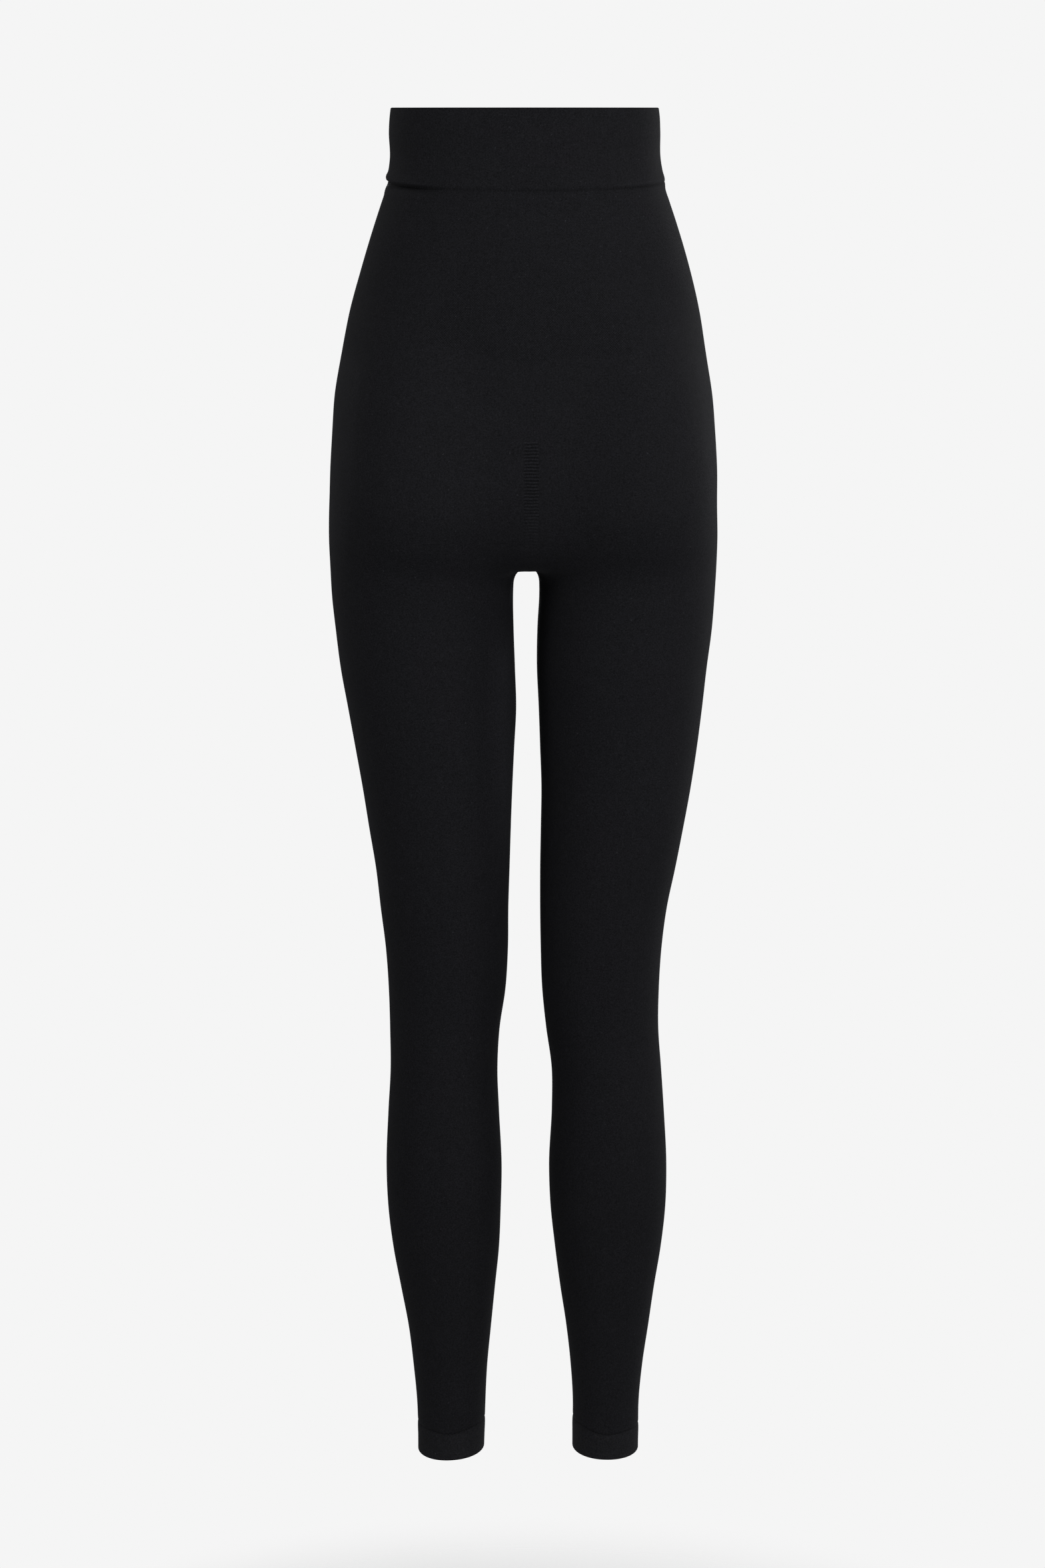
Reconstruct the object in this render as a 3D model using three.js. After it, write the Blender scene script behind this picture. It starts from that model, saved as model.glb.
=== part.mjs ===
// High-waisted, full-length seamless leggings, filled out as if worn, with no wearer.
// Millimetres, +Z up. The back faces -Y and the wearer's right side is +X. The origin is the
// middle of the waistband, where the wearer's waist holds the garment up.
//
// The cloth lies on one smooth form, worked out from two section tables: the hip, which closes in
// a bowl at the crotch, and the two legs, whose upper ends are the rounded halves of the seat. The
// three are joined softly, so the seat has a shallow valley at the centre back and the crotch a
// round arc. Every piece is a thin wall between points on that form and the same points moved in.
// A point's drop is its distance below the waistband's top edge.
import * as THREE from 'three';

const WAIST_TOP = 32;
const KNIT_THICKNESS = 1.6;
const BAND_THICKNESS = 2.4;
const HEM_THICKNESS = 2.0;
const SEAM_GAP = 0.3;

// The waistband's seam dips at the centre back.
const BAND_SEAM_FRONT = 55.5;
const BAND_SEAM_DIP = 8;

// The hip's finer knit ends above the seat, a little lower at the centre back.
const PANEL_EDGE = 187;
const PANEL_DIP = 8;
const PANEL_DIP_WIDTH = 18;

// The lowest point of the crotch, and the ring of the seat from which the crotch saddle hangs.
const CROTCH = 359.6;
const SADDLE_TOP = 330;

// The thigh rings, where the seat's shaping knit ends and a leg begins, run lower on the inside.
const THIGH_RING = { left: 375, right: 390 };
const THIGH_TILT = { left: 21, right: 11 };

// Each leg is two lengths of tube, which meet where it is narrowest, behind the knee.
const KNEE = 762;
const HEM_SEAM = 1077;
const HEM_END = 1101;

// The hems end a little higher on the inside of the leg.
const HEM_RISE = { left: 3, right: 0.6 };

// How the hip closes towards the crotch, and how round the sections are.
const BOWL_TOP = 250;
const BOWL_POWER = 8;
const HIP_POWER = 2.25;
const LEG_POWER = 2.08;

// Width of the soft joins: over the seat, at the crotch, and between the legs.
const SEAT_BLEND = 16;
const CROTCH_BLEND = 16;
const LEG_BLEND = 6;
const BLEND_CHANGE = [315, 360];

// The fold under the seat runs lower towards the inside of the thigh, and fades out down the leg.
const FOLD_SLOPE = 0.1;
const FOLD_REACH = 25;
const FOLD_FADE = [400, 500];

// Rows and columns of each wall's grid.
const HIP_COLUMNS = 60;
const LEG_COLUMNS = 40;
const LEG_START_ANGLE = -Math.PI / 4;
const PANEL_ROWS = 5;
const SEAT_ROWS = 7;
const CROTCH_ROWS = 7;
const THIGH_ROWS = 9;
const CALF_ROWS = 8;
const HEM_ROWS = 3;
const HALF = HIP_COLUMNS / 2;
const SADDLE_STEPS = LEG_COLUMNS - HALF;
const COLUMN_CROWDING = 0.5;
const SADDLE_CROWDING = 1.9;
const SADDLE_REACH = 0.8;

// Rays that find the form start on the hip's middle line or in the middle of a leg.
const HIP_MIDDLE = 6;
const HIP_ASPECT = 1.45;
const SADDLE_ASPECT = 2.4;
const RAY_REACH = 260;
const RAY_HALVINGS = 36;
const SLOPE_STEP = 0.5;
const TINY = 1e-6;

// Rows of the waistband, as fractions of its height, and how far its folded edges are rounded in.
const BAND_ROWS = [
  { height: 0, inset: 0.8 },
  { height: 0.025, inset: 0.1 },
  { height: 0.15, inset: 0 },
  { height: 0.36, inset: 0 },
  { height: 0.62, inset: 0 },
  { height: 0.82, inset: 0 },
  { height: 0.93, inset: 0 },
  { height: 1, inset: 0.3 },
];
const HEM_INSET = 0.6;

// Hip sections: half the width, the middle's place in X, and the reach forwards and backwards.
const hipTable = table(['drop', 'half', 'centre', 'front', 'back'], [
  [0, 105.4, -1.0, 90.5, 73.5],
  [6, 106.2, -1.0, 91, 74],
  [18, 106.9, -1.1, 92, 75],
  [40, 106.8, -0.6, 93, 77],
  [50, 108.3, -0.4, 94, 79],
  [57, 109.8, -0.2, 95, 80],
  [63, 110.2, -0.2, 95, 81],
  [72, 113.2, -0.3, 96, 83],
  [88, 118.6, -0.3, 98, 86],
  [124, 129.6, -0.5, 101, 93],
  [166, 140.0, -1.5, 102, 101],
  [219, 145.8, -2.3, 100, 107],
  [260, 145.5, -2.5, 97, 110],
  [300, 141.0, -2.5, 90, 109],
  [330, 132.0, -2.5, 80, 101],
  [365, 120.0, -2.5, 58, 82],
]);

// Leg sections: distances of the inner and outer edges from the middle plane, and the reach
// forwards and backwards. Above the crotch they are the halves of the seat.
const legTable = table(
  ['drop', 'leftOuter', 'leftInner', 'rightInner', 'rightOuter', 'front', 'back'], [
    [110, 80, 50, 50, 80, 10, 40],
    [150, 118, 30, 30, 112, 40, 76],
    [190, 137, 14, 14, 131, 62, 98],
    [219, 147.2, 8, 8, 141.5, 72, 108],
    [250, 151.7, 5, 5, 146.6, 77, 115],
    [282, 155.4, 4, 4, 150.0, 80, 119.5],
    [314, 157.2, 5, 5, 150.9, 82, 118.5],
    [336, 157.6, 8, 8, 151.8, 83, 110.5],
    [362, 156.8, 9.8, 9.8, 151.8, 84, 96],
    [384, 155.8, 10.7, 10.4, 150.9, 84, 90.5],
    [411, 153.1, 10.3, 9.0, 149.1, 83, 87.5],
    [443, 149.3, 9.2, 8.6, 145.2, 81, 85],
    [476, 143.6, 8.2, 10.1, 141.8, 79, 81],
    [509, 137.9, 9.8, 11.3, 137.9, 76.5, 77],
    [542, 132.3, 11.3, 12.4, 133.2, 74, 73],
    [575, 127.3, 12.5, 12.0, 127.5, 71, 69],
    [608, 122.1, 13.5, 11.5, 121.4, 68, 65],
    [641, 118.5, 14.5, 11.5, 114.8, 65, 61],
    [674, 114.6, 14.8, 12.0, 110.8, 62.5, 57.5],
    [708, 112.4, 16.8, 13.1, 108.8, 60, 55],
    [742, 111.5, 21.8, 16.4, 108.4, 56, 54],
    [775, 111.3, 23.7, 20.8, 110.6, 50, 57],
    [809, 113.3, 22.6, 20.8, 112.7, 45, 62],
    [855, 115.1, 20.6, 18.4, 114.8, 40, 66],
    [889, 113.8, 21.4, 19.6, 114.1, 38, 65.5],
    [923, 109.9, 22.8, 23.2, 110.7, 36.5, 62],
    [958, 103.7, 26.2, 27.7, 105.4, 34, 56.5],
    [992, 97.7, 29.4, 32.8, 101.0, 31.5, 50],
    [1027, 93.7, 32.6, 36.7, 96.3, 30, 45],
    [1062, 90.8, 34.2, 38.8, 93.5, 29.5, 41.5],
    [1085, 90.3, 34.8, 38.5, 93.4, 29.5, 40.5],
    [1103, 90.3, 35.4, 38.5, 93.3, 30, 40],
  ]);

// The ladder strip at the centre back.
const LADDER_HALF_WIDTH = 6;
const LADDER_TOP = 252.5;
const LADDER_END = 339;
const LADDER_BARS = 34;
const LADDER_COLUMNS = [-1, -0.8, 0.8, 1];
const LADDER_CLEARANCE = 0.45;
const LADDER_BASE = 0.5;
const LADDER_RIDGE = 0.9;

const knit = new THREE.MeshStandardMaterial({ color: 0x16171a, roughness: 0.82, metalness: 0 });
const bandKnit = new THREE.MeshStandardMaterial({ color: 0x191a1d, roughness: 0.78, metalness: 0 });

// Section tables and small functions.

function table(names, rows) {
  const columns = {};
  names.forEach((name, index) => {
    columns[name] = rows.map((row) => row[index]);
  });
  return columns;
}

// A column of a table at any drop, on a smooth curve through its rows.
function valueAt(sections, name, drop) {
  const at = sections.drop;
  const value = sections[name];
  const last = at.length - 1;
  const d = THREE.MathUtils.clamp(drop, at[0], at[last]);
  let k = 0;
  while (k < last - 1 && d >= at[k + 1]) k += 1;
  const step = at[k + 1] - at[k];
  const t = (d - at[k]) / step;
  const startSlope = slopeAt(at, value, k) * step;
  const endSlope = slopeAt(at, value, k + 1) * step;
  return (1 + 2 * t) * (1 - t) ** 2 * value[k] + t * (1 - t) ** 2 * startSlope
    + t * t * (3 - 2 * t) * value[k + 1] + t * t * (t - 1) * endSlope;
}

function slopeAt(at, value, k) {
  const slope = (i) => (value[i + 1] - value[i]) / (at[i + 1] - at[i]);
  if (k === 0) return slope(0);
  if (k === at.length - 1) return slope(k - 1);
  const before = at[k] - at[k - 1];
  const after = at[k + 1] - at[k];
  return (slope(k - 1) * after + slope(k) * before) / (before + after);
}

function mix(a, b, t) {
  return a + (b - a) * t;
}

function powerNorm(a, b, power) {
  return (Math.abs(a) ** power + Math.abs(b) ** power) ** (1 / power);
}

// The smaller of two distances, with a soft join of the given width.
function softMin(a, b, width) {
  const h = Math.max(width - Math.abs(a - b), 0) / width;
  return Math.min(a, b) - h * h * width / 4;
}

// The form: negative inside it, positive outside, roughly in millimetres.

function legSection(side, drop) {
  const inner = valueAt(legTable, side > 0 ? 'rightInner' : 'leftInner', drop);
  const outer = valueAt(legTable, side > 0 ? 'rightOuter' : 'leftOuter', drop);
  const front = valueAt(legTable, 'front', drop);
  const back = valueAt(legTable, 'back', drop);
  return {
    x: side * (inner + outer) / 2,
    y: (front - back) / 2,
    half: (outer - inner) / 2,
    front,
  };
}

function legDistance(side, x, y, drop) {
  const section = legSection(side, drop);
  const fade = 1 - THREE.MathUtils.smoothstep(drop, ...FOLD_FADE);
  const slope = FOLD_SLOPE * side * (section.x - x) * fade;
  const shift = THREE.MathUtils.clamp(slope, -FOLD_REACH, FOLD_REACH);
  const back = valueAt(legTable, 'back', drop - shift);
  const dx = x - section.x;
  const dy = y - section.y;
  const depth = dy > 0 ? section.front - section.y : back + section.y;
  const roundness = powerNorm(dx / section.half, dy / depth, LEG_POWER);
  const distance = Math.hypot(dx, dy);
  return distance - distance / Math.max(roundness, TINY);
}

function hipDistance(x, y, drop) {
  const front = valueAt(hipTable, 'front', drop);
  const back = valueAt(hipTable, 'back', drop);
  const middle = (front - back) / 2;
  const dx = x - valueAt(hipTable, 'centre', drop);
  const dy = y - middle;
  const depth = (front + back) / 2;
  const below = Math.max(drop - BOWL_TOP, 0);
  const flat = powerNorm(dx / valueAt(hipTable, 'half', drop), dy / depth, HIP_POWER);
  const roundness = powerNorm(flat, below / (CROTCH - BOWL_TOP), BOWL_POWER);
  const distance = Math.hypot(dx, dy, below);
  return distance - distance / Math.max(roundness, TINY);
}

function formDistance(x, y, drop) {
  const legs = softMin(legDistance(-1, x, y, drop), legDistance(1, x, y, drop), LEG_BLEND);
  const change = THREE.MathUtils.smoothstep(drop, ...BLEND_CHANGE);
  return softMin(legs, hipDistance(x, y, drop), mix(SEAT_BLEND, CROTCH_BLEND, change));
}

// Where a ray from a point inside leaves the form. Points and directions are { x, y, drop }.
function surfacePoint(start, direction, reach = RAY_REACH) {
  const length = Math.hypot(direction.x, direction.y, direction.drop);
  const along = (distance) => ({
    x: start.x + direction.x * distance / length,
    y: start.y + direction.y * distance / length,
    drop: start.drop + direction.drop * distance / length,
  });
  let near = 0;
  let far = reach;
  for (let i = 0; i < RAY_HALVINGS; i += 1) {
    const middle = along((near + far) / 2);
    if (formDistance(middle.x, middle.y, middle.drop) < 0) near = (near + far) / 2;
    else far = (near + far) / 2;
  }
  return along(far);
}

function position(point) {
  return new THREE.Vector3(point.x, point.y, WAIST_TOP - point.drop);
}

function outward({ x, y, drop }) {
  const h = SLOPE_STEP;
  return new THREE.Vector3(
    formDistance(x + h, y, drop) - formDistance(x - h, y, drop),
    formDistance(x, y + h, drop) - formDistance(x, y - h, drop),
    formDistance(x, y, drop - h) - formDistance(x, y, drop + h),
  ).normalize();
}

// A wall of cloth: matching outer and inner points, the faces between them, and its open rims.
class Wall {
  constructor(thickness) {
    this.thickness = thickness;
    this.outer = [];
    this.inner = [];
    this.triangles = [];
    this.rims = [];
  }

  // Adds a point of the form. The inset rounds an edge: it brings both faces closer together.
  add(point, inset = 0) {
    const normal = outward(point);
    const place = position(point);
    return this.addPair(
      place.clone().addScaledVector(normal, -inset),
      place.clone().addScaledVector(normal, inset - this.thickness),
    );
  }

  addPair(outerPoint, innerPoint) {
    this.outer.push(outerPoint);
    this.inner.push(innerPoint);
    return this.outer.length - 1;
  }

  // A four-sided face, its corners counterclockwise from outside.
  face(a, b, c, d) {
    this.triangles.push([a, b, c], [a, c, d]);
  }

  // Faces between two rows of points, the upper row first. Rows run counterclockwise from above,
  // or clockwise where turned is true.
  band(upper, lower, turned = false, closed = true) {
    const count = closed ? upper.length : upper.length - 1;
    for (let i = 0; i < count; i += 1) {
      const next = (i + 1) % upper.length;
      if (turned) this.face(upper[i], upper[next], lower[next], lower[i]);
      else this.face(upper[i], lower[i], lower[next], upper[next]);
    }
  }

  // An open edge, given as a loop of points with the cloth on its right, seen from outside.
  rim(loop) {
    this.rims.push(loop);
  }

  mesh(name, material) {
    const shift = this.outer.length;
    const index = [];
    for (const [a, b, c] of this.triangles) {
      index.push(a, b, c, a + shift, c + shift, b + shift);
    }
    for (const loop of this.rims) {
      loop.forEach((a, i) => {
        const b = loop[(i + 1) % loop.length];
        index.push(a, b, b + shift, a, b + shift, a + shift);
      });
    }
    const geometry = new THREE.BufferGeometry().setFromPoints([...this.outer, ...this.inner]);
    geometry.setIndex(index);
    geometry.computeVertexNormals();
    const result = new THREE.Mesh(geometry, material);
    result.name = name;
    return result;
  }
}

// Rings round the hip. Column 0 is the centre back, column HALF is the centre front, and the
// columns are closer together at both.

function hipAngle(column) {
  const t = column / HALF;
  const warped = t - COLUMN_CROWDING * Math.sin(2 * Math.PI * t) / (2 * Math.PI);
  return Math.PI * (warped - 0.5);
}

function hipPoint(column, drop) {
  const angle = hipAngle(column);
  const direction = { x: HIP_ASPECT * Math.cos(angle), y: Math.sin(angle), drop: 0 };
  return surfacePoint({ x: 0, y: HIP_MIDDLE, drop }, direction);
}

function bandSeam(column) {
  const towardsBack = (1 - Math.sin(hipAngle(column))) / 2;
  return BAND_SEAM_FRONT + BAND_SEAM_DIP * towardsBack ** 2;
}

function panelEdge(column) {
  const point = hipPoint(column, PANEL_EDGE);
  const dip = point.y < 0 ? PANEL_DIP * Math.exp(-((point.x / PANEL_DIP_WIDTH) ** 2)) : 0;
  return PANEL_EDGE + dip;
}

// Rings round a leg. Their angle is 0 at the inside of the leg, and column 0 is the corner
// between its inside and its back. The columns run round the back, the outside and the front.

function legAngle(column) {
  return LEG_START_ANGLE - 2 * Math.PI * column / LEG_COLUMNS;
}

function thighRing(side, column) {
  const name = side > 0 ? 'right' : 'left';
  return THIGH_RING[name] + THIGH_TILT[name] * Math.cos(legAngle(column));
}

function legPoint(side, angle, drop) {
  const section = legSection(side, drop);
  const direction = {
    x: -side * Math.cos(angle) * section.half,
    y: Math.sin(angle) * (section.front - section.y),
    drop: 0,
  };
  const towardsMiddle = -side * direction.x / Math.hypot(direction.x, direction.y);
  const toMiddle = Math.abs(section.x) / Math.max(towardsMiddle, TINY);
  return surfacePoint({ x: section.x, y: section.y, drop }, direction, Math.min(toMiddle, RAY_REACH));
}

// The angle round a leg of a point that is already there, near an expected angle.
function angleOf(side, point, expected) {
  const section = legSection(side, point.drop);
  const angle = Math.atan2(
    (point.y - section.y) / (section.front - section.y),
    -side * (point.x - section.x) / section.half,
  );
  return angle + 2 * Math.PI * Math.round((expected - angle) / (2 * Math.PI));
}

function range(count) {
  return Array.from({ length: count }, (_, i) => i);
}

// The pieces.

function makeWaistband() {
  const wall = new Wall(BAND_THICKNESS);
  const rings = BAND_ROWS.map(({ height, inset }) => range(HIP_COLUMNS).map((column) => (
    wall.add(hipPoint(column, height * bandSeam(column)), inset)
  )));
  for (let i = 1; i < rings.length; i += 1) wall.band(rings[i - 1], rings[i]);
  wall.rim(rings[0]);
  wall.rim(rings.at(-1).toReversed());
  return wall.mesh('waistband', bandKnit);
}

// The hip's finer knit, a tube from the waistband's seam to the panel's edge.
function makeUpperPanel() {
  const wall = new Wall(KNIT_THICKNESS);
  const rings = range(PANEL_ROWS + 1).map((row) => range(HIP_COLUMNS).map((column) => {
    const top = bandSeam(column) + SEAM_GAP;
    return wall.add(hipPoint(column, mix(top, panelEdge(column), row / PANEL_ROWS)));
  }));
  for (let i = 1; i < rings.length; i += 1) wall.band(rings[i - 1], rings[i]);
  wall.rim(rings[0]);
  wall.rim(rings.at(-1).toReversed());
  return wall.mesh('upper_panel', knit);
}

function makeSeat() {
  const wall = new Wall(KNIT_THICKNESS);
  const points = [];
  const add = (point) => {
    points.push(point);
    return wall.add(point);
  };

  const rings = range(SEAT_ROWS + 1).map((row) => range(HIP_COLUMNS).map((column) => {
    const top = panelEdge(column) + SEAM_GAP;
    return add(hipPoint(column, mix(top, SADDLE_TOP, row / SEAT_ROWS)));
  }));
  for (let i = 1; i < rings.length; i += 1) wall.band(rings[i - 1], rings[i]);
  wall.rim(rings[0]);

  // The saddle hangs between the lowest ring's centre back and centre front.
  const saddle = range(SADDLE_STEPS - 1).map((i) => {
    const angle = Math.PI * (i + 1) / SADDLE_STEPS;
    const direction = { x: 0, y: -SADDLE_ASPECT * Math.cos(angle), drop: Math.sin(angle) };
    return add(surfacePoint({ x: 0, y: HIP_MIDDLE, drop: SADDLE_TOP }, direction));
  });

  const lowest = rings.at(-1);
  for (const side of [-1, 1]) {
    const outside = range(HALF + 1).map((i) => lowest[side > 0 ? i : (HIP_COLUMNS - i) % HIP_COLUMNS]);
    let previous = [...outside, ...saddle.toReversed()];
    const start = previous.map((index) => points[index]);
    for (let row = 1; row <= CROTCH_ROWS; row += 1) {
      const t = row / CROTCH_ROWS;
      const current = start.map((point, column) => {
        const target = legAngle(column);
        const inside = THREE.MathUtils.smoothstep(Math.cos(target), 0, SADDLE_REACH);
        const turn = THREE.MathUtils.smoothstep(t, 0, 1);
        const angle = mix(angleOf(side, point, target), target, turn);
        const crowded = t ** mix(1, SADDLE_CROWDING, inside);
        return add(legPoint(side, angle, mix(point.drop, thighRing(side, column), crowded)));
      });
      wall.band(previous, current, side < 0);
      previous = current;
    }
    wall.rim(side > 0 ? previous.toReversed() : previous);
  }
  return wall.mesh('seat', knit);
}

// A tube round one leg, from one drop to another, each a function of the column.
function makeLegTube(name, material, thickness, side, rows, top, end, endInset = 0) {
  const wall = new Wall(thickness);
  const rings = range(rows + 1).map((row) => range(LEG_COLUMNS).map((column) => {
    const drop = mix(top(column), end(column), row / rows);
    return wall.add(legPoint(side, legAngle(column), drop), row === rows ? endInset : 0);
  }));
  for (let i = 1; i < rings.length; i += 1) wall.band(rings[i - 1], rings[i], side < 0);
  wall.rim(side > 0 ? rings[0] : rings[0].toReversed());
  wall.rim(side > 0 ? rings.at(-1).toReversed() : rings.at(-1));
  return wall.mesh(name, material);
}

function makeThigh(name, side) {
  const top = (column) => thighRing(side, column) + SEAM_GAP;
  return makeLegTube(name, knit, KNIT_THICKNESS, side, THIGH_ROWS, top, () => KNEE);
}

function makeCalf(name, side) {
  return makeLegTube(name, knit, KNIT_THICKNESS, side, CALF_ROWS, () => KNEE + SEAM_GAP, () => HEM_SEAM);
}

function makeHem(name, side) {
  const top = () => HEM_SEAM + SEAM_GAP;
  const rise = HEM_RISE[side > 0 ? 'right' : 'left'];
  const end = (column) => HEM_END - rise * (1 + Math.cos(legAngle(column))) / 2;
  return makeLegTube(name, bandKnit, HEM_THICKNESS, side, HEM_ROWS, top, end, HEM_INSET);
}

// The ladder strip lies on the seat at the centre back: short bars across, one under another.
function makeLadder() {
  const wall = new Wall(LADDER_BASE);
  const rows = range(2 * LADDER_BARS + 1).map((row) => LADDER_COLUMNS.map((part) => {
    const drop = mix(LADDER_TOP, LADDER_END, row / (2 * LADDER_BARS));
    const start = { x: part * LADDER_HALF_WIDTH, y: HIP_MIDDLE, drop };
    const point = surfacePoint(start, { x: 0, y: -1, drop: 0 });
    const normal = outward(point);
    const onBar = row % 2 === 1 && Math.abs(part) < 1;
    const height = LADDER_CLEARANCE + (onBar ? LADDER_RIDGE : LADDER_BASE);
    return wall.addPair(
      position(point).addScaledVector(normal, height),
      position(point).addScaledVector(normal, LADDER_CLEARANCE),
    );
  }));
  for (let i = 1; i < rows.length; i += 1) wall.band(rows[i - 1], rows[i], false, false);
  const left = rows.map((row) => row[0]);
  const right = rows.map((row) => row.at(-1));
  wall.rim([
    ...rows[0],
    ...right.slice(1, -1),
    ...rows.at(-1).toReversed(),
    ...left.slice(1, -1).toReversed(),
  ]);
  return wall.mesh('back_ladder', knit);
}

const group = new THREE.Group();
group.name = 'leggings';
group.add(
  makeWaistband(),
  makeUpperPanel(),
  makeSeat(),
  makeLadder(),
  makeThigh('leg_left_upper', -1),
  makeThigh('leg_right_upper', 1),
  makeCalf('leg_left_lower', -1),
  makeCalf('leg_right_lower', 1),
  makeHem('hem_left', -1),
  makeHem('hem_right', 1),
);

export default group;
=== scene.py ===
"""High-waisted, full-length seamless leggings, filled out as if worn, seen from the back.

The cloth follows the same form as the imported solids: section tables for the hip and the two legs,
joined softly. Each piece is a fine, thin shell on that form, with its creases, seams and knit.
Sizes are millimetres unless a name says otherwise; objects are in metres. A point's drop is its
distance below the waistband's top edge.
"""
import math

import bpy
import numpy as np
from mathutils import Euler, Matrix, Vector


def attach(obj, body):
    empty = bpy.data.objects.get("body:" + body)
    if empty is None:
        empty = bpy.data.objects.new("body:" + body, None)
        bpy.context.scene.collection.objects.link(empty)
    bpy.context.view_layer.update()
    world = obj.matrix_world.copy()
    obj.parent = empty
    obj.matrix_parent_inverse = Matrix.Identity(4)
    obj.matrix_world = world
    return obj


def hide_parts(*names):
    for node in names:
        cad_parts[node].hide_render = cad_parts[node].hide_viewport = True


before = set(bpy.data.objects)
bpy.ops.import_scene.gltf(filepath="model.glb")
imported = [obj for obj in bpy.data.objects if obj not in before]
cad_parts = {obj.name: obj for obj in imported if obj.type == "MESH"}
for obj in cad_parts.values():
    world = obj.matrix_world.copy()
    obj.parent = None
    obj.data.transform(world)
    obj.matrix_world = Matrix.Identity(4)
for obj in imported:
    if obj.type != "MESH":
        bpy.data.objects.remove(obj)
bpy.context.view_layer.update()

MM = 0.001

# Sizes shared with the solids. Side -1 is the left leg in the photo's view, and side 1 the right leg
WAIST_TOP = 32.0
KNIT_THICKNESS = 1.2
BAND_THICKNESS = 2.4
HEM_THICKNESS = 2.0
BAND_SEAM_FRONT = 55.5
BAND_SEAM_DIP = 8.0
CROTCH = 359.6
SADDLE_TOP = 330.0
THIGH_RING = {-1: 375.0, 1: 390.0}
THIGH_TILT = {-1: 21.0, 1: 11.0}
HEM_SEAM = 1077.0
HEM_END = 1101.0
HEM_RISE = {-1: 3.0, 1: 0.6}
BOWL_TOP = 250.0
BOWL_POWER = 8.0
HIP_POWER = 2.25
LEG_POWER = 2.08
HIP_BLEND = 16.0
LEG_BLEND = 6.0
FOLD_SLOPE = 0.1
FOLD_REACH = 25.0
FOLD_FADE = (400.0, 500.0)
HIP_MIDDLE = 6.0
HIP_ASPECT = 1.45
SADDLE_ASPECT = 2.4
RAY_REACH = 260.0
RAY_STEPS = 26
NORMAL_STEP = 0.4

# Columns and rows of the fine grids
HALF = 140
HIP_COLUMNS = 2 * HALF
LEG_COLUMNS = 188
SADDLE_STEPS = LEG_COLUMNS - HALF
COLUMN_CROWDING = 0.5
SADDLE_CROWDING = 1.9
SADDLE_INSIDE = (0.0, 0.8)
BAND_ROWS = 40
BODY_ROWS = 122
CROTCH_ROWS = 28
LEG_ROWS = 236
HEM_ROWS = 14
FOLD_STEPS = 6
SEAM_CROWDING = 1.2
LEG_TURNOVER = 0.8

# Added to the knit's coordinates, in metres, so that all are above zero
KNIT_ORIGIN = (0.5, 1.2)

# Hip sections: half the width, the middle's place in X, and the reach forwards and backwards
HIP_NAMES = ("drop", "half", "centre", "front", "back")
HIP_ROWS = (
    (0, 105.4, -1.0, 90.5, 73.5),
    (6, 106.2, -1.0, 91, 74),
    (18, 106.9, -1.1, 92, 75),
    (40, 106.8, -0.6, 93, 77),
    (50, 108.3, -0.4, 94, 79),
    (57, 109.8, -0.2, 95, 80),
    (63, 110.2, -0.2, 95, 81),
    (72, 113.2, -0.3, 96, 83),
    (88, 118.6, -0.3, 98, 86),
    (124, 129.6, -0.5, 101, 93),
    (166, 140.0, -1.5, 102, 101),
    (219, 145.8, -2.3, 100, 107),
    (260, 145.5, -2.5, 97, 110),
    (300, 141.0, -2.5, 90, 109),
    (330, 132.0, -2.5, 80, 101),
    (365, 120.0, -2.5, 58, 82),
)

# Leg sections: distances of the inner and outer edges from the middle plane, and the reach
# forwards and backwards. Above the crotch they are the halves of the seat
LEG_NAMES = ("drop", "left_outer", "left_inner", "right_inner", "right_outer", "front", "back")
LEG_SECTION_ROWS = (
    (110, 80, 50, 50, 80, 10, 40),
    (150, 118, 30, 30, 112, 40, 76),
    (190, 137, 14, 14, 131, 62, 98),
    (219, 147.2, 8, 8, 141.5, 72, 108),
    (250, 151.7, 5, 5, 146.6, 77, 115),
    (282, 155.4, 4, 4, 150.0, 80, 119.5),
    (314, 157.2, 5, 5, 150.9, 82, 118.5),
    (336, 157.6, 8, 8, 151.8, 83, 110.5),
    (362, 156.8, 9.8, 9.8, 151.8, 84, 96),
    (384, 155.8, 10.7, 10.4, 150.9, 84, 90.5),
    (411, 153.1, 10.3, 9.0, 149.1, 83, 87.5),
    (443, 149.3, 9.2, 8.6, 145.2, 81, 85),
    (476, 143.6, 8.2, 10.1, 141.8, 79, 81),
    (509, 137.9, 9.8, 11.3, 137.9, 76.5, 77),
    (542, 132.3, 11.3, 12.4, 133.2, 74, 73),
    (575, 127.3, 12.5, 12.0, 127.5, 71, 69),
    (608, 122.1, 13.5, 11.5, 121.4, 68, 65),
    (641, 118.5, 14.5, 11.5, 114.8, 65, 61),
    (674, 114.6, 14.8, 12.0, 110.8, 62.5, 57.5),
    (708, 112.4, 16.8, 13.1, 108.8, 60, 55),
    (742, 111.5, 21.8, 16.4, 108.4, 56, 54),
    (775, 111.3, 23.7, 20.8, 110.6, 50, 57),
    (809, 113.3, 22.6, 20.8, 112.7, 45, 62),
    (855, 115.1, 20.6, 18.4, 114.8, 40, 66),
    (889, 113.8, 21.4, 19.6, 114.1, 38, 65.5),
    (923, 109.9, 22.8, 23.2, 110.7, 36.5, 62),
    (958, 103.7, 26.2, 27.7, 105.4, 34, 56.5),
    (992, 97.7, 29.4, 32.8, 101.0, 31.5, 50),
    (1027, 93.7, 32.6, 36.7, 96.3, 30, 45),
    (1062, 90.8, 34.2, 38.8, 93.5, 29.5, 41.5),
    (1085, 90.3, 34.8, 38.5, 93.4, 29.5, 40.5),
    (1103, 90.3, 35.4, 38.5, 93.3, 30, 40),
)


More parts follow.
